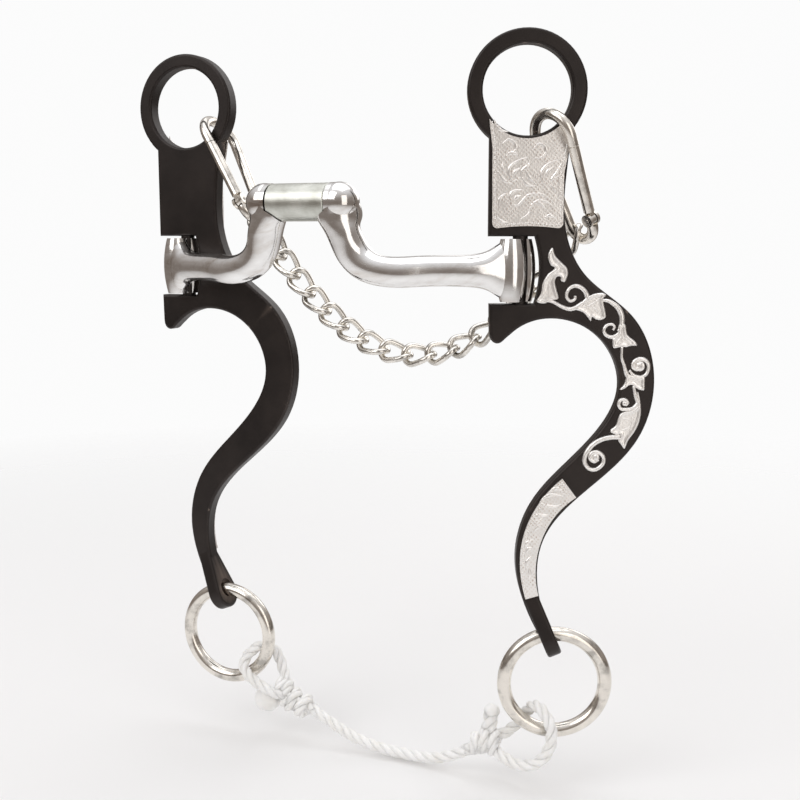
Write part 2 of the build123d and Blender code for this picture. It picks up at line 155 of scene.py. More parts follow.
class Shape:
    """Vertices in millimetres and faces, gathered into one mesh piece."""

    def __init__(self):
        self.verts = []
        self.faces = []

    def add(self, verts, faces):
        base = len(self.verts)
        self.verts += [Vector(v) for v in verts]
        self.faces += [[base + i for i in face] for face in faces]

    def tube(self, path, width, height=None, ups=None, sides=8, closed=False):
        """A tube along a line, round or oval.

        width and height are radii: a number, or one number per point. ups is the direction
        of the height: one for all points, one per point, or none for any steady one.
        """
        count = len(path)
        width = width if hasattr(width, "__len__") else [width] * count
        height = width if height is None else height
        height = height if hasattr(height, "__len__") else [height] * count
        if ups is None:
            runs, across = carried_sides(path, closed)
            ups = [run.cross(side) for run, side in zip(runs, across)]
        else:
            runs = tangents(path, closed)
            ups = ups if isinstance(ups, list) else [ups] * count
            across = [up.cross(run).normalized() for up, run in zip(ups, runs)]
        verts = []
        for point, side, up, w, h in zip(path, across, ups, width, height):
            for k in range(sides):
                turn = TAU * k / sides
                verts.append(point + side * (w * math.cos(turn)) + up * (h * math.sin(turn)))
        faces = []
        for i in range(count if closed else count - 1):
            a, b = i * sides, (i + 1) % count * sides
            for k in range(sides):
                n = (k + 1) % sides
                faces.append((a + k, a + n, b + n, b + k))
        if not closed:
            faces.append(tuple(reversed(range(sides))))
            faces.append(tuple(range((count - 1) * sides, count * sides)))
        self.add(verts, faces)

    def ball(self, middle, radii, rows=14, columns=22, dent=0.0):
        """A closed lump with three different radii, and shallow dents if asked."""
        middle = Vector(middle)
        wide, deep, tall = radii
        verts = [middle + Vector((0, 0, tall))]
        for row in range(1, rows):
            lean = math.pi * row / rows
            for column in range(columns):
                turn = TAU * column / columns
                size = 1 + dent * math.sin(3 * turn + 2 * lean) * math.sin(2 * lean)
                verts.append(middle + size * Vector((
                    wide * math.sin(lean) * math.cos(turn),
                    deep * math.sin(lean) * math.sin(turn),
                    tall * math.cos(lean))))
        verts.append(middle - Vector((0, 0, tall)))
        faces = []
        for column in range(columns):
            n = (column + 1) % columns
            faces.append((0, 1 + column, 1 + n))
            for row in range(rows - 2):
                a = 1 + row * columns
                faces.append((a + column, a + columns + column, a + columns + n, a + n))
            a = 1 + (rows - 2) * columns
            faces.append((a + column, len(verts) - 1, a + n))
        self.add(verts, faces)

    def rope(self, path, radius=CORD_RADIUS):
        """Laid rope: three strands round each other, each a little uneven along its length."""
        spaced = respaced(path, STRAND_STEP)
        runs, across = carried_sides(spaced)
        for strand in range(3):
            line, ups, sizes = [], [], []
            for i, (point, run, side) in enumerate(zip(spaced, runs, across)):
                turn = TAU * (STRAND_STEP * i / ROPE_LAY + strand / 3)
                out = side * math.cos(turn) + run.cross(side) * math.sin(turn)
                line.append(point + out * radius * STRAND_OUT)
                ups.append(out)
                swell = STRAND_SWELL * math.sin(SWELL_RATE * i * STRAND_STEP + strand)
                sizes.append(radius * (STRAND_RADIUS + swell))
            self.tube(line, sizes, sizes, ups, sides=12)

    def make(self, name, material, body, replaced=()):
        """The piece, riding on a body, in place of any CAD nodes named."""
        mesh = bpy.data.meshes.new(name)
        mesh.from_pydata([v * MM for v in self.verts], [], self.faces)
        mesh.materials.append(material)
        mesh.shade_smooth()
        obj = bpy.data.objects.new(name, mesh)
        scene.collection.objects.link(obj)
        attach(obj, body)
        if replaced:
            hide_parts(*replaced)
        return obj


def respaced(path, step):
    """The same line, with its points an even step apart."""
    line = [Vector(p) for p in path]
    lengths = [0.0]
    for a, b in zip(line, line[1:]):
        lengths.append(lengths[-1] + (b - a).length)
    count = max(4, round(lengths[-1] / step))
    out = []
    at = 0
    for k in range(count + 1):
        want = lengths[-1] * k / count
        while at < len(lengths) - 2 and lengths[at + 1] < want:
            at += 1
        share = (want - lengths[at]) / max(lengths[at + 1] - lengths[at], 1e-9)
        out.append(line[at].lerp(line[at + 1], share))
    return out


# ---- materials ---------------------------------------------------------------------------
class Finish:
    """A node material, built up from the Principled shader."""

    def __init__(self, name, **constants):
        self.material = bpy.data.materials.new(name)
        self.material.use_nodes = True
        self.tree = self.material.node_tree
        self.shader = self.tree.nodes["Principled BSDF"]
        for key, value in constants.items():
            self.shader.inputs[key.replace("_", " ")].default_value = value
        self.coords = self.tree.nodes.new("ShaderNodeTexCoord")

    def node(self, kind, links=None, **values):
        made = self.tree.nodes.new("ShaderNode" + kind)
        for key, value in values.items():
            if hasattr(made, key):
                setattr(made, key, value)
            else:
                made.inputs[key.replace("_", " ")].default_value = value
        for key, source in (links or {}).items():
            self.tree.links.new(source, made.inputs[key])
        return made

    def stretched(self, scale, turn=(0, 0, 0)):
        """The object's own coordinates, scaled and turned."""
        return self.node("Mapping", {"Vector": self.coords.outputs["Object"]},
                         Scale=scale, Rotation=turn).outputs["Vector"]

    def noise(self, scale, detail=4.0, roughness=0.55, vector=None, distortion=0.0):
        vector = vector or self.coords.outputs["Object"]
        return self.node("TexNoise", {"Vector": vector}, Scale=scale, Detail=detail,
                         Roughness=roughness, Distortion=distortion).outputs["Fac"]

    def ramp(self, value, stops):
        """A colour from a value, with stops of (place, colour)."""
        made = self.node("ValToRGB", {"Fac": value})
        elements = made.color_ramp.elements
        while len(elements) < len(stops):
            elements.new(0.5)
        for element, (at, colour) in zip(elements, stops):
            element.position = at
            element.color = (*colour, 1.0)
        return made.outputs["Color"]

    def span(self, value, low, high, start=0.0, end=1.0):
        """A value that runs from start to end, made to run from low to high."""
        return self.node("MapRange", {"Value": value}, From_Min=start, From_Max=end,
                         To_Min=low, To_Max=high).outputs["Result"]

    def maths(self, operation, a, b):
        made = self.node("Math", operation=operation)
        for socket, value in zip(made.inputs, (a, b)):
            if isinstance(value, (int, float)):
                socket.default_value = value
            else:
                self.tree.links.new(value, socket)
        return made.outputs["Value"]

    def bump(self, layers):
        """Layers of (height, strength, distance in millimetres), one on another."""
        normal = None
        for height, strength, distance in layers:
            links = {"Height": height}
            if normal:
                links["Normal"] = normal
            normal = self.node("Bump", links, Strength=strength,
                               Distance=distance * MM).outputs["Normal"]
        self.set("Normal", normal)

    def set(self, name, source):
        self.tree.links.new(source, self.shader.inputs[name])


def black_steel():
    """Dark satin finish, browner where hands and tack rub its edges."""
    f = Finish("black_steel", Metallic=0.75, Coat_Weight=0.25, Coat_Roughness=0.35)
    worn = f.node("NewGeometry").outputs["Pointiness"]
    cloud = f.noise(70.0, 5.0, 0.6)
    grain = f.noise(2400.0, 3.0, 0.6)
    edge = f.span(worn, 0.0, 0.7, 0.52, 0.62)
    tone = f.maths("ADD", f.maths("MULTIPLY", cloud, 0.5), edge)
    f.set("Base Color", f.ramp(tone, [(0.12, (0.016, 0.012, 0.011)),
                                      (0.36, (0.034, 0.026, 0.023)),
                                      (0.8, (0.16, 0.125, 0.105))]))
    f.set("Roughness", f.maths("ADD", f.span(cloud, 0.34, 0.52), f.span(grain, -0.04, 0.06)))
    f.bump([(grain, 0.25, 0.02), (f.noise(420.0, 3.0), 0.12, 0.05)])
    return f.material


def engraved_silver(name, hatch):
    """Bright silver: fine crossed graver lines, cut as deep and dark as hatch says."""
    f = Finish(name, Metallic=1.0)
    drift = f.noise(240.0, 4.0, 0.6)
    cuts = []
    for turn in (0.75, -0.6):
        line = f.stretched((1, 0.25, 1), (0, turn, 0))
        cuts.append(f.node("TexWave", {"Vector": line}, Scale=330.0, Distortion=4.5, Detail=2.0,
                           Detail_Scale=2.0).outputs["Fac"])
    crossed = f.maths("MULTIPLY", cuts[0], cuts[1])
    patch = f.span(drift, 0.35, 1.0, 0.42, 0.62)
    ground = f.maths("MULTIPLY", crossed, patch)
    tone = f.maths("SUBTRACT", 1.0, f.maths("MULTIPLY", ground, 1.05 * hatch))
    f.set("Base Color", f.ramp(tone, [(0.25, (0.55, 0.47, 0.42)), (0.7, (0.90, 0.86, 0.82)),
                                      (1.0, (0.985, 0.97, 0.95))]))
    f.set("Roughness", f.maths("ADD", f.span(drift, 0.26, 0.44), f.maths("MULTIPLY", ground, 0.2)))
    f.bump([(ground, 0.8 * hatch, 0.09), (drift, 0.45, 0.2), (f.noise(2600.0), 0.12, 0.02)])
    return f.material


def polished_steel():
    """Polished bar with pale haze, grey patches and brown tarnish drawn out along it."""
    f = Finish("polished_steel", Metallic=1.0)
    along = f.stretched((0.35, 1.0, 1.0))
    haze = f.noise(110.0, 5.0, 0.62, along, 0.6)
    streak = f.noise(330.0, 4.0, 0.6, f.stretched((0.16, 1.0, 1.0)), 0.8)
    fine = f.noise(2200.0, 2.0, 0.5, f.stretched((0.05, 1.0, 1.0)))
    tone = f.maths("ADD", f.maths("MULTIPLY", haze, 0.62), f.maths("MULTIPLY", streak, 0.38))
    f.set("Base Color", f.ramp(tone, [(0.33, (0.46, 0.38, 0.33)), (0.40, (0.74, 0.71, 0.68)),
                                      (0.50, (0.86, 0.85, 0.84)), (0.66, (0.95, 0.95, 0.94))]))
    f.set("Roughness", f.maths("ADD", f.span(haze, 0.04, 0.22), f.span(fine, -0.02, 0.04)))
    f.bump([(fine, 0.08, 0.02), (haze, 0.08, 0.14), (streak, 0.04, 0.05)])
    return f.material


def satin_barrel():
    """Pale grey-green brushed barrel: turning marks round its axis."""
    f = Finish("satin_barrel", Metallic=1.0)
    lines = f.noise(2600.0, 3.0, 0.6, f.stretched((1.0, 0.03, 0.03)))
    cloud = f.noise(160.0, 4.0, 0.55)
    f.set("Base Color", f.ramp(cloud, [(0.3, (0.50, 0.50, 0.45)), (0.55, (0.66, 0.67, 0.62)),
                                       (0.75, (0.78, 0.78, 0.73))]))
    f.set("Roughness", f.maths("ADD", f.span(cloud, 0.30, 0.42), f.span(lines, -0.06, 0.08)))
    f.bump([(lines, 0.22, 0.03), (cloud, 0.10, 0.10)])
    return f.material


def nickel(name, warm, rough):
    """Plated wire: bright, warm in its shaded patches, with faint drawing lines."""
    f = Finish(name, Metallic=1.0)
    cloud = f.noise(190.0, 4.0, 0.6)
    fine = f.noise(3200.0, 2.0, 0.5)
    shaded = tuple(0.60 * c for c in warm)
    bright = tuple(min(1.0, 1.12 * c) for c in warm)
    f.set("Base Color", f.ramp(cloud, [(0.34, shaded), (0.5, warm), (0.7, bright)]))
    f.set("Roughness", f.maths("ADD", f.span(cloud, rough, rough + 0.12),
                               f.span(fine, -0.02, 0.04)))
    f.bump([(cloud, 0.12, 0.10), (fine, 0.08, 0.015)])
    return f.material


def cord_fibre():
    """White synthetic fibre: soft, slightly see-through, with fine lines in each strand."""
    f = Finish("cord_fibre", Subsurface_Weight=0.5, Subsurface_Scale=0.0015, Sheen_Weight=0.3,
               Subsurface_Radius=(1.0, 0.96, 0.9))
    fibre = f.noise(2600.0, 3.0, 0.6, f.stretched((0.5, 1.0, 1.0)))
    cloud = f.noise(150.0, 3.0)
    f.set("Base Color", f.ramp(cloud, [(0.3, (0.88, 0.87, 0.84)), (0.6, (0.96, 0.955, 0.94)),
                                       (0.8, (0.99, 0.99, 0.98))]))
    f.set("Roughness", f.span(fibre, 0.32, 0.55))
    f.bump([(fibre, 0.35, 0.05), (cloud, 0.15, 0.15)])
    return f.material


FINISHES = {
    "black_steel": black_steel(),
    "engraved_silver": engraved_silver("engraved_silver", 0.7),
    "silver_vine": engraved_silver("silver_vine", 0.35),
    "polished_steel": polished_steel(),
    "satin_barrel": satin_barrel(),
    "pin_steel": nickel("pin_steel", (0.55, 0.53, 0.50), 0.22),
    "nickel_ring": nickel("nickel_ring", (0.80, 0.76, 0.70), 0.10),
    "nickel_snap": nickel("nickel_snap", (0.83, 0.79, 0.73), 0.12),
    "chain_nickel": nickel("chain_nickel", (0.80, 0.77, 0.72), 0.11),
    "white_cord": cord_fibre(),
}


# ---- tie cord and its knots, as laid rope ------------------------------------------------
def route_line():
    """The cord's route as a smooth curve, read back point by point."""
    curve = bpy.data.curves.new("cord_route", "CURVE")
    curve.dimensions = "3D"
    spline = curve.splines.new("NURBS")
    spline.points.add(len(CORD_ROUTE) - 1)
    for point, place in zip(spline.points, CORD_ROUTE):
        point.co = (*(Vector(place) * MM), 1.0)
    spline.order_u = 3
    spline.use_endpoint_u = True
    spline.resolution_u = 24
    holder = bpy.data.objects.new("cord_route", curve)
    scene.collection.objects.link(holder)
    mesh = bpy.data.meshes.new_from_object(
        holder.evaluated_get(bpy.context.evaluated_depsgraph_get()))
    line = [v.co / MM for v in mesh.vertices]
    bpy.data.objects.remove(holder)
    bpy.data.meshes.remove(mesh)
    return line


def winding(middle, axis, radius, turns, start, pitch=2.6):
    """A line wound round an axis, pitch further along it each turn."""
    axis = Vector(axis).normalized()
    side = axis.orthogonal().normalized()
    other = axis.cross(side)
    line = []
    steps = max(8, int(STEPS_PER_TURN * turns))
    for step in range(steps + 1):
        share = step / steps
        turn = start + TAU * turns * share
        line.append(Vector(middle) + (side * math.cos(turn) + other * math.sin(turn)) * radius
                    + axis * pitch * turns * (share - 0.5))
    return line


cord_line = route_line()
tie = Shape()
tie.rope(cord_line)
tie_cord = tie.make("tie_cord_braid", FINISHES["white_cord"], "cord", ["tie_cord"])

left_knot = Shape()
# the loop through the left rein ring
left_knot.rope(smooth_line([
    (-24.5, -0.6, -157.6), (-30.0, -3.0, -155.6), (-36.4, -3.9, -152.4), (-41.4, -2.8, -148.6),
    (-41.4, 0.4, -144.6), (-37.4, 3.4, -141.4), (-33.0, 5.6, -143.2), (-30.4, 6.0, -148.6),
    (-27.6, 4.6, -154.0), (-23.6, 3.2, -158.4)]))
# the turns that close it
left_knot.rope(winding((-27.4, 1.6, -156.2), (0.8, 0.1, -0.5), 2.7, 1.3, 0.6))
left_knot.rope(winding((-23.6, 1.6, -159.2), (0.82, 0.0, -0.52), 2.9, 1.2, 1.9))
left_knot.rope(winding((-18.6, 1.6, -161.0), (0.75, -0.2, -0.6), 2.7, 1.6, 2.6, 3.0))
# the standing part, from inside the turns to the free cord's end
left_knot.rope(smooth_line([(-29.0, 0.4, -154.8), (-24.6, -0.4, -157.4), (-20.4, 0.4, -159.6),
                            (-17.6, 1.4, -160.4), CORD_ROUTE[0]]))
# the short end and the ball it finishes in
left_knot.rope([(-27.6, 1.6, -157.6), (-30.4, 1.0, -159.2), (-33.0, 0.8, -160.2)])
left_knot.ball((-33.6, 0.8, -160.6), (4.9, 4.5, 4.8), dent=0.03)
left_piece = left_knot.make("left_knot_turns", FINISHES["white_cord"], "left_ring",
                            ["left_cord_knot"])

right_knot = Shape()
# the loop round the right rein ring
right_knot.rope(smooth_line([
    (54.0, 1.0, -161.0), (60.0, -0.6, -164.0), (67.0, -2.5, -165.0), (73.5, -2.5, -162.5),
    (77.0, -1.5, -157.0), (76.8, -0.5, -150.5), (73.0, 1.5, -146.0), (69.0, 4.5, -146.5),
    (65.5, 6.8, -150.5), (61.0, 6.0, -156.5), (55.0, 4.0, -160.4)]))
# the turns that close it
right_knot.rope(winding((54.6, 2.0, -160.6), (1.0, 0.1, -0.25), 3.0, 1.6, 0.4, 3.0))
right_knot.rope(winding((49.6, 2.0, -162.2), (0.95, 0.1, 0.3), 2.1, 1.3, 2.0))
# the standing part, from inside the turns to the free cord's end
right_knot.rope(smooth_line([(58.0, 0.4, -159.6), (53.6, 0.0, -162.4), (49.6, 0.8, -163.8),
                             CORD_ROUTE[-1]]))
# the thick short end and the ball it finishes in
right_knot.rope(smooth_line([(53.6, 3.0, -161.0), (54.2, 2.2, -155.6), (55.0, 2.0, -149.8)]),
                radius=2.3)
right_knot.ball((55.1, 2.0, -149.6), (2.8, 2.7, 2.2), dent=0.06)
right_piece = right_knot.make("right_knot_turns", FINISHES["white_cord"], "right_knot",
                              ["right_cord_knot"])


# ---- curb chain: every link is the same oval, twisted a quarter turn ----------------------
LINKS = 18
LINK_STRAIGHT = 1.9            # half the straight side
LINK_BEND = 3.4                # radius of the round ends, at the middle of the wire
LINK_WIRE = 1.03               # the wire's radius
BEND_STEPS = 14                # points round one end


def centre(node):
    """The middle of a CAD node's box."""
    low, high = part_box(node)
    return (Vector(low) + Vector(high)) / 2 / MM


def link_loop():
    """Points (along, across) round a straight-sided oval."""
    line = [(-LINK_STRAIGHT / 2, LINK_BEND), (0.0, LINK_BEND), (LINK_STRAIGHT / 2, LINK_BEND)]
    for k in range(BEND_STEPS + 1):
        turn = math.pi * k / BEND_STEPS
        line.append((LINK_STRAIGHT + LINK_BEND * math.sin(turn), LINK_BEND * math.cos(turn)))
    return line + [(-x, -y) for x, y in line]


def chain_direction(points, i):
    """Which way the chain runs at one of its links, by the links next to it."""
    if i == 0:
        run = 4 * points[1] - 3 * points[0] - points[2]
    elif i == len(points) - 1:
        run = 3 * points[i] - 4 * points[i - 1] + points[i - 2]
    else:
        run = points[i + 1] - points[i - 1]
    return run.normalized()


names = [f"curb_link_{i + 1:02d}" for i in range(LINKS)]
middles = [centre(name) for name in names]
for i, name in enumerate(names):
    along = chain_direction(middles, i)
    level = Vector((0, 0, 1)).cross(along).normalized()
    upright = level.cross(along)
    path = []
    for x, y in link_loop():
        twist = math.pi / 4 * (1 + x / (LINK_STRAIGHT + LINK_BEND))
        path.append(middles[i] + along * x
                    + (level * math.cos(twist) + upright * math.sin(twist)) * y)
    link = Shape()
    link.tube(smooth_line(path, 2, closed=True), LINK_WIRE, sides=12, closed=True)
    link.make(name + "_twisted", FINISHES["chain_nickel"], "curb_chain", [name])


# ---- raised vine and graver work on each cheek ---------------------------------------------
# Every point is (u, z): back along the plate from its hinge, and up.
LEAVES = [                     # outlines
    [(9.9, 7.1), (10.8, 4.7), (12.8, 2.5), (14.6, 0.7), (14.9, -1.4), (13.9, -3.6), (12.6, -3.2),
     (12.6, -2.1), (11.4, -2.1), (10.9, -3.6), (11.4, -6.1), (12.0, -8.9), (9.7, -9.4),
     (7.6, -10.5), (5.1, -9.8), (6.4, -7.3), (7.0, -3.9), (8.5, -1.2), (10.7, 0.7), (9.4, 1.6),
     (8.5, 3.8), (8.8, 5.9)],
    [(15.4, -12.1), (17.5, -11.5), (19.2, -10.1), (20.7, -8.6), (23.1, -7.4), (25.7, -7.1),
     (27.1, -7.8), (26.2, -9.1), (26.9, -12.5), (27.2, -14.6), (25.7, -15.7), (24.0, -15.5),
     (22.9, -14.8), (22.4, -16.0), (21.4, -14.8), (19.9, -13.3), (17.9, -12.6)],
    [(31.4, -17.2), (33.4, -17.0), (34.2, -20.2), (36.8, -22.5), (37.3, -23.8), (35.5, -23.9),
     (33.8, -24.4), (32.7, -24.1), (31.6, -24.4), (30.1, -24.7), (29.6, -23.9), (29.5, -21.7),
     (31.0, -20.2)],
    [(33.9, -31.4), (35.1, -32.9), (37.2, -33.5), (39.9, -33.7), (40.2, -35.7), (40.1, -38.1),
     (38.5, -38.0), (37.4, -37.4), (36.4, -36.6), (35.2, -36.6), (33.8, -37.7), (32.3, -37.9),
     (33.4, -36.4), (34.0, -34.4)],
    [(38.0, -38.7), (38.9, -41.3), (39.3, -45.2), (38.7, -48.6), (37.4, -51.6), (35.5, -54.3),
     (34.7, -56.4), (34.1, -57.2), (32.9, -55.7), (32.1, -54.3), (32.9, -52.5), (31.6, -52.6),
     (29.9, -51.9), (29.6, -51.0), (31.2, -49.5), (31.9, -47.3), (32.6, -45.8), (34.2, -45.1),
     (36.4, -44.5), (37.9, -43.0)],
]
STEMS = [                      # (points, radius at the start, in the middle and at the end)
    ([(6.6, -9.4), (10.2, -9.9), (12.8, -11.3), (15.4, -12.2), (17.5, -11.8), (19.9, -10.3)],
     0.5, 0.7, 0.9),
    ([(21.4, -9.3), (20.7, -7.1), (19.2, -5.5), (17.1, -4.9), (15.2, -6.0), (14.6, -8.2),
      (15.7, -9.6), (17.2, -9.1), (17.4, -8.0)], 0.9, 0.62, 0.5),
    ([(25.7, -9.3), (28.2, -9.8), (30.8, -11.7), (32.2, -14.2), (32.3, -17.2), (31.6, -19.4)],
     0.5, 0.95, 0.9),
    ([(32.1, -19.4), (30.8, -20.6), (29.1, -21.1), (27.4, -20.4), (26.7, -18.9), (27.5, -17.4),
      (29.1, -17.0), (30.0, -17.8), (29.6, -18.9)], 0.8, 0.62, 0.45),
    ([(32.6, -24.1), (32.6, -27.5), (33.4, -30.1), (34.2, -32.7), (35.1, -34.4)], 0.5, 0.6, 0.9),
    ([(35.1, -31.8), (36.8, -33.4), (39.1, -33.8), (40.7, -32.7), (41.2, -30.3), (40.2, -28.6),
      (38.5, -28.1), (36.8, -28.9), (36.4, -30.5), (37.6, -31.3), (38.8, -30.6)], 0.5, 0.75, 0.9),
    ([(36.6, -36.8), (37.4, -40.0), (38.5, -43.0)], 0.5, 0.7, 0.8),
    ([(38.1, -42.4), (36.8, -43.9), (35.1, -44.3), (32.9, -44.2), (32.1, -42.8), (32.6, -41.4),
      (34.0, -41.2), (34.9, -42.2), (34.1, -43.0)], 0.7, 0.6, 0.6),
    ([(32.9, -53.3), (29.1, -53.6), (26.1, -54.6), (23.5, -56.5), (21.7, -59.4), (21.6, -61.8),
      (23.1, -63.8), (25.3, -64.0), (27.4, -62.2), (27.6, -60.0), (25.9, -58.4), (23.9, -58.6),
      (23.3, -60.2), (24.6, -61.3), (25.9, -60.5)], 0.9, 0.7, 0.8),
    ([(10.7, 0.9), (11.8, -0.6), (12.9, -1.6), (13.3, -2.9)], 0.3, 0.35, 0.2),
]
VEINS = [                      # raised lines on the leaves
    [(9.6, 6.2), (10.6, 3.0), (12.4, 0.8), (11.0, -1.0), (8.8, -4.6), (9.2, -8.8)],
    [(17.5, -12.0), (21.5, -11.2), (26.4, -7.9)], [(21.5, -11.2), (24.4, -12.4), (26.0, -14.9)],
    [(32.3, -17.8), (32.4, -21.6), (32.6, -24.0)], [(32.4, -20.6), (34.6, -22.4), (36.7, -23.5)],
    [(32.2, -21.0), (30.9, -22.8), (30.1, -24.1)],
    [(35.0, -33.6), (37.0, -35.4), (39.6, -37.6)], [(35.0, -34.4), (34.4, -36.4), (33.0, -37.6)],
    [(38.4, -42.8), (36.6, -48.0), (34.3, -56.4)], [(37.2, -46.6), (34.2, -47.4), (32.2, -47.0)],
    [(36.0, -49.8), (33.4, -51.2), (30.2, -51.3)],
]
BERRIES = [((38.4, -30.4), 1.7), ((33.9, -42.4), 0.9), ((25.0, -60.0), 1.3)]  # middle, radius
GRAVER_UPPER = [               # scrolls on the upper plate
    [(-6.5, 39.0), (-4.5, 40.3), (-2.5, 39.3), (-2.0, 37.4), (-3.4, 36.1), (-5.0, 35.9)],
    [(-5.2, 34.6), (-4.2, 36.1), (-1.9, 36.0), (-1.4, 34.9)],
    [(1.5, 34.9), (-1.4, 33.9), (-3.7, 32.0), (-4.0, 29.7), (-2.8, 27.7), (-0.5, 28.8)],
    [(1.5, 34.9), (2.1, 32.8), (-0.2, 30.8), (-0.5, 28.8)],
    [(0.9, 31.4), (2.3, 28.8), (4.8, 26.1)],
    [(-0.1, 28.8), (1.5, 26.8), (4.3, 26.0)],
    [(3.2, 37.4), (4.9, 39.0), (6.9, 38.2), (7.3, 36.3), (5.8, 34.9), (3.2, 34.6)],
    [(11.5, 34.3), (8.3, 33.1), (6.3, 30.8), (6.0, 28.3), (7.2, 25.7)],
    [(11.5, 34.3), (12.0, 32.8), (10.6, 30.0), (9.2, 28.0), (11.2, 28.8), (11.4, 22.2)],
    [(-7.7, 30.8), (-5.7, 28.0), (-2.8, 26.7)],
    [(-3.4, 20.5), (-3.7, 23.1), (-2.2, 24.7), (0.6, 24.9)],
    [(-3.4, 20.5), (-1.4, 20.2), (0.3, 21.7), (2.1, 23.2), (5.5, 23.7), (8.6, 22.2), (10.6, 19.4)],
    [(-0.5, 15.9), (2.1, 17.6), (3.2, 20.2), (5.8, 21.7), (8.6, 20.8), (10.3, 18.2)],
    [(-8.9, 46.4), (-8.4, 44.6), (-6.8, 43.2), (-4.5, 42.6)],
    [(-7.7, 16.5), (-6.2, 15.2), (-4.2, 14.9)],
    [(7.2, 16.5), (8.9, 17.1), (11.2, 15.9)], [(-7.1, 18.8), (-6.8, 22.2), (-4.8, 24.2)],
    [(-3.2, 28.6), (-2.2, 30.6), (-0.4, 31.8)], [(7.0, 28.6), (8.0, 30.8), (9.8, 32.2)],
    [(3.6, 21.2), (6.0, 20.6), (7.8, 18.8)], [(-2.6, 21.8), (-1.6, 22.8), (-0.2, 23.2)],
    [(-6.2, 33.4), (-6.0, 31.4), (-5.2, 30.2)], [(8.6, 26.6), (10.0, 25.4), (10.6, 23.8)],
]
GRAVER_LOWER = [               # scrolls on the lower plate
    [(10.1, -71.6), (11.9, -70.2), (14.3, -70.7), (15.6, -72.2)],
    [(7.2, -74.7), (9.0, -73.0), (11.9, -72.2), (14.9, -72.7)],
    [(7.2, -74.7), (9.5, -75.9), (12.2, -76.2), (14.3, -75.3)],
    [(4.8, -80.5), (6.3, -79.1), (9.0, -79.1), (10.1, -78.8)],
    [(4.8, -80.5), (6.6, -81.1), (8.4, -79.9)],
    [(5.4, -84.5), (6.9, -82.8), (8.4, -81.8)], [(2.6, -90.2), (3.4, -88.2), (5.4, -87.1)],
    [(2.8, -91.7), (3.9, -90.2), (4.9, -89.7)], [(3.0, -98.3), (3.5, -94.8), (4.6, -92.8)],
    [(3.9, -101.8), (4.3, -98.6), (4.0, -96.6)],
]
# where the row of edge cuts runs on each plate
UPPER_EDGE = [(-9.6, 45.6), (-8.7, 40.0), (-8.5, 37.0), (-8.3, 15.0), (-7.4, 14.0), (1.9, 14.7),
              (11.2, 14.0), (12.2, 15.0), (12.2, 30.4), (13.6, 38.0), (14.4, 42.6)]
LOWER_EDGE = [(3.6, -106.0), (2.5, -102.6), (2.1, -98.4), (2.2, -89.8), (4.2, -83.0), (6.9, -77.2),
              (10.6, -72.4), (14.4, -68.4), (17.6, -72.8)]

LINE_STEPS = 7                 # steps from one point of an outline or line to the next
LEAF_GRID = 0.32               # between the points of a leaf's face
LEAF_MARGIN = 0.16             # no such point this near the rim
LEAF_RIM = 0.42                # height of the rim's edge, and how much further it swells
LEAF_ROUND = 0.55              # from the edge in to the rim's top
LEAF_HOLLOW = 0.26             # how far the middle lies below the rim's top
LEAF_SLOPE = 0.6               # from the rim's top in to the hollow's floor
LEAF_ROOT = -0.2               # height of the rim's foot, inside the steel
STEM_HEIGHT = 0.8
BERRY_BASE, BERRY_HEIGHT = 0.1, 0.72
VEIN_BASE, VEIN_HEIGHT = 0.52, 0.22
VEIN_RADII = (0.10, 0.26, 0.08)
GRAVER_BASE, GRAVER_HEIGHT = -0.06, 0.42
GRAVER_RADII = (0.14, 0.72, 0.10)
CUT_STEP = 0.66                # between the cuts along a plate's edge
CUT_REACH = 0.42               # half a cut's length
CUT_SLANT = 0.9                # how far a cut leans across, for each step along
CUT_RADII = [0.08, 0.24, 0.08]
CUT_HEIGHTS = [0.05, 0.2, 0.05]


def edge_distance(rim, after, u, z):
    """How far a point is from the nearest edge of an outline."""
    run = after - rim
    away = np.array((u, z)) - rim
    share = np.clip((away * run).sum(1) / np.maximum((run * run).sum(1), 1e-12), 0, 1)
    return float(np.sqrt(((away - run * share[:, None]) ** 2).sum(1)).min())


def is_inside(rim, after, u, z):
    """Whether a line from a point along +u crosses an outline an odd number of times."""
    crossing = (rim[:, 1] > z) != (after[:, 1] > z)
    with np.errstate(divide="ignore", invalid="ignore"):
        share = (after[:, 0] - rim[:, 0]) / (after[:, 1] - rim[:, 1])
    return np.sum(crossing & (u < rim[:, 0] + (z - rim[:, 1]) * share)) % 2 == 1


def leaf_height(far):
    """A leaf's height by the distance from its edge: a rounded rim and a lower middle."""
    up = LEAF_RIM + LEAF_RIM * math.sin(min(far / LEAF_ROUND, 1) * math.pi / 2)
    return up - LEAF_HOLLOW * min(max((far - LEAF_ROUND) / LEAF_SLOPE, 0), 1)


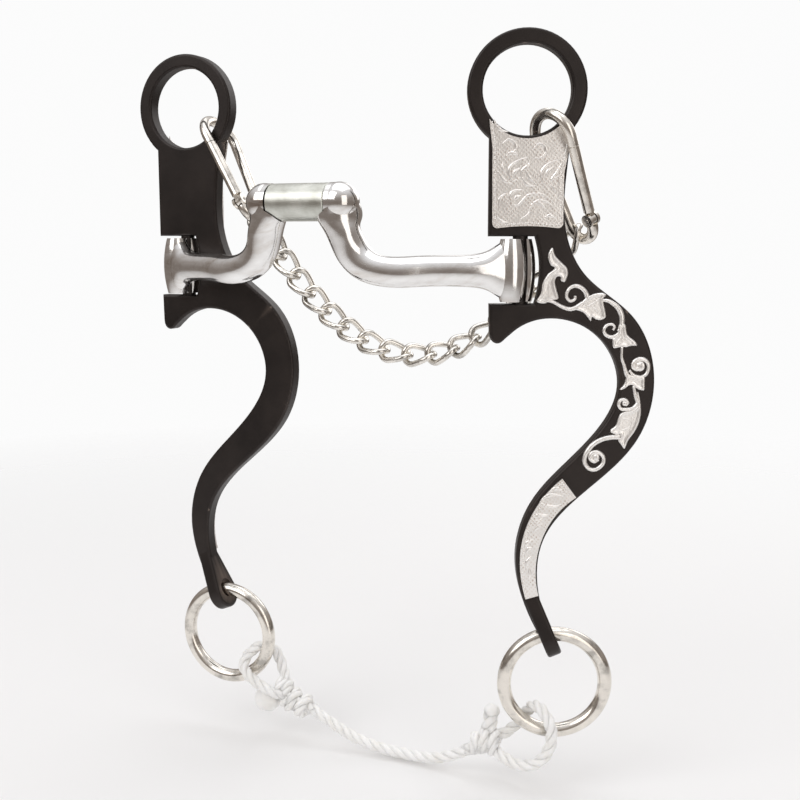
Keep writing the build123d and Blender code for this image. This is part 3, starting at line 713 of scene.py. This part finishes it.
def relief_leaf(outline):
    """A leaf's surface as (u, height, z) points and faces."""
    rim = smooth_line([(*p, 0) for p in outline], LINE_STEPS, closed=True)
    rim = np.array([(p.x, p.y) for p in rim])
    after = np.roll(rim, -1, axis=0)
    us = np.arange(rim[:, 0].min(), rim[:, 0].max(), LEAF_GRID)
    zs = np.arange(rim[:, 1].min(), rim[:, 1].max(), LEAF_GRID)
    inside = []
    for row, z in enumerate(zs):
        for u in us + (row % 2) * LEAF_GRID / 2:
            if is_inside(rim, after, u, z) and edge_distance(rim, after, u, z) > LEAF_MARGIN:
                inside.append((u, z))
    flat = [Vector(p) for p in rim] + [Vector(p) for p in inside]
    edges = [(i, (i + 1) % len(rim)) for i in range(len(rim))]
    verts, _, faces, _, _, _ = delaunay_2d_cdt(flat, edges, [], 1, 1e-4)
    out = [(v.x, leaf_height(edge_distance(rim, after, v.x, v.y)), v.y) for v in verts]
    count = len(out)
    out += [(u, LEAF_ROOT, z) for u, z in rim]
    places = {(round(v.x, 4), round(v.y, 4)): i for i, v in enumerate(verts)}
    ring = [places.get((round(u, 4), round(z, 4))) for u, z in rim]
    faces = [list(face) for face in faces]
    for i in range(len(rim)):
        n = (i + 1) % len(rim)
        if ring[i] is not None and ring[n] is not None:
            faces.append([ring[i], ring[n], count + n, count + i])
    return out, faces


def stroke(shape, side, points, face, radii, height):
    """A raised line on a cheek's face, as thick as asked at its start, middle and end."""
    line = smooth_line([on_cheek(side, u, face, z) for u, z in points], LINE_STEPS)
    start, middle, end = radii
    sizes = []
    for i in range(len(line)):
        share = i / (len(line) - 1)
        near, far = (start, middle) if share < 0.5 else (middle, end)
        sizes.append(near + (far - near) * (share * 2 % 1 if share < 1 else 1))
    heights = [height * min(1.0, 0.4 + size) for size in sizes]  # a thin end is lower as well
    shape.tube(line, sizes, heights, outward(side), sides=10)


def border(shape, side, points, face):
    """A row of small slanting graver cuts along a plate's edge."""
    line = respaced([(u, 0, z) for u, z in points], CUT_STEP)
    for a, b in zip(line, line[1:]):
        run = (b - a).normalized()
        slant = (run + Vector((run.z, 0, -run.x)) * CUT_SLANT).normalized() * CUT_REACH
        ends = [on_cheek(side, p.x, face, p.z) for p in (a - slant, a, a + slant)]
        shape.tube(ends, CUT_RADII, CUT_HEIGHTS, outward(side), sides=6)


leaf_forms = [relief_leaf(outline) for outline in LEAVES]
for side, cheek in CHEEKS.items():
    body = side + "_cheek"
    vine = Shape()
    for points, faces in leaf_forms:
        verts = [on_cheek(side, u, PLATE_FACE + up, z) for u, up, z in points]
        vine.add(verts, faces if cheek.outer > 0 else [face[::-1] for face in faces])
    for points, *radii in STEMS:
        stroke(vine, side, points, PLATE_FACE, radii, STEM_HEIGHT)
    for points in VEINS:
        stroke(vine, side, points, PLATE_FACE + VEIN_BASE, VEIN_RADII, VEIN_HEIGHT)
    for (u, z), radius in BERRIES:
        vine.ball(on_cheek(side, u, PLATE_FACE + BERRY_BASE, z), (radius, BERRY_HEIGHT, radius))
    vine.make(side + "_vine_relief", FINISHES["silver_vine"], body,
              [side + "_vine_overlay"])
    graver = Shape()
    for points in GRAVER_UPPER + GRAVER_LOWER:
        stroke(graver, side, points, SILVER_FACE + GRAVER_BASE, GRAVER_RADII, GRAVER_HEIGHT)
    for edge in (UPPER_EDGE, LOWER_EDGE):
        border(graver, side, edge, SILVER_FACE)
    graver.make(side + "_graver_work", FINISHES["engraved_silver"], body)


# ---- finishes on the CAD nodes that show ---------------------------------------------------
SLOTS = {                      # by how a node's name ends
    "shank": "black_steel", "upper_plate": "engraved_silver", "lower_plate": "engraved_silver",
    "rein_ring": "nickel_ring", "snap_body": "nickel_snap", "snap_gate": "nickel_snap",
    "snap_pin": "pin_steel", "mouthpiece_left": "polished_steel",
    "mouthpiece_right": "polished_steel", "port_barrel": "satin_barrel", "port_pin": "pin_steel",
}
for name, obj in nodes.items():
    for ending, slot in SLOTS.items():
        if name.endswith(ending):
            obj.data.materials.clear()
            obj.data.materials.append(FINISHES[slot])

# ---- stage and light ------------------------------------------------------------------------
FLOOR_REACH = 8.0              # metres from the middle to an edge, as are the two below
FADE_FROM, FADE_TO = 0.22, 0.75
FLOOR_GAP = 0.0006             # metres below the lowest piece


def fading_floor():
    """A pale floor that turns clear away from the bit, so that no horizon shows."""
    f = Finish("floor", Roughness=0.75, Base_Color=(0.86, 0.86, 0.86, 1.0))
    far = f.node("VectorMath", {"Vector": f.coords.outputs["Object"]},
                 operation="LENGTH").outputs["Value"]
    blend = f.node("MixShader", {"Fac": f.span(far, 0.0, 1.0, FADE_FROM, FADE_TO)})
    clear = f.node("BsdfTransparent")
    for socket, source in zip(blend.inputs[1:], (f.shader, clear)):
        f.tree.links.new(source.outputs["BSDF"], socket)
    f.tree.links.new(blend.outputs["Shader"], f.tree.nodes["Material Output"].inputs["Surface"])
    return f.material


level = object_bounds()[0][2] - FLOOR_GAP
floor_mesh = bpy.data.meshes.new("floor")
floor_mesh.from_pydata([(-FLOOR_REACH, -FLOOR_REACH, level), (FLOOR_REACH, -FLOOR_REACH, level),
                        (FLOOR_REACH, FLOOR_REACH, level), (-FLOOR_REACH, FLOOR_REACH, level)],
                       [], [(0, 1, 2, 3)])
floor_mesh.materials.append(fading_floor())
floor = bpy.data.objects.new("floor", floor_mesh)
scene.collection.objects.link(floor)


def softbox(name, place, target, width, height, power, colour=(1, 1, 1)):
    """A rectangular light at a place, turned to a target: metres and watts."""
    light = bpy.data.lights.new(name, "AREA")
    light.shape = "RECTANGLE"
    light.size = width
    light.size_y = height
    light.energy = power
    light.color = colour
    lamp = bpy.data.objects.new(name, light)
    lamp.location = place
    lamp.rotation_euler = (Vector(target) - Vector(place)).to_track_quat("-Z", "Y").to_euler()
    scene.collection.objects.link(lamp)


softbox("key", (-0.35, -0.75, 0.55), (0, 0, -0.03), 0.7, 0.7, 3.0)
softbox("fill", (0.75, -0.55, 0.15), (0, 0, -0.03), 0.5, 0.9, 1.6, (1.0, 0.97, 0.93))
softbox("top", (0.0, 0.1, 0.85), (0, 0, 0), 0.9, 0.9, 2.4)
softbox("back", (0.1, 0.9, 0.35), (0, 0, -0.05), 0.9, 0.5, 1.8)

# The world: dim and warm low down and bright above, as the steel sees it, and plain white
# behind the bit.
SKY = [(0.0, (0.22, 0.19, 0.17)), (0.35, (0.34, 0.31, 0.29)), (1.0, (0.95, 0.95, 0.97))]
BACKDROP = (0.97, 0.97, 0.97, 1)
COLOUR_A, COLOUR_B, COLOUR_RESULT = 6, 7, 2  # a Mix node's sockets share their names
world = bpy.data.worlds.new("studio")
world.use_nodes = True
scene.world = world
tree = world.node_tree
background = tree.nodes["Background"]
direction = tree.nodes.new("ShaderNodeTexCoord")
split = tree.nodes.new("ShaderNodeSeparateXYZ")
shade = tree.nodes.new("ShaderNodeValToRGB")
shade.color_ramp.elements.new(0.5)
for stop, (place, colour) in zip(shade.color_ramp.elements, SKY):
    stop.position = place
    stop.color = (*colour, 1)
seen = tree.nodes.new("ShaderNodeLightPath")
mix = tree.nodes.new("ShaderNodeMix")
mix.data_type = "RGBA"
mix.inputs[COLOUR_B].default_value = BACKDROP
tree.links.new(direction.outputs["Generated"], split.inputs["Vector"])
tree.links.new(split.outputs["Z"], shade.inputs["Fac"])
tree.links.new(seen.outputs["Is Camera Ray"], mix.inputs["Factor"])
tree.links.new(shade.outputs["Color"], mix.inputs[COLOUR_A])
tree.links.new(mix.outputs[COLOUR_RESULT], background.inputs["Color"])
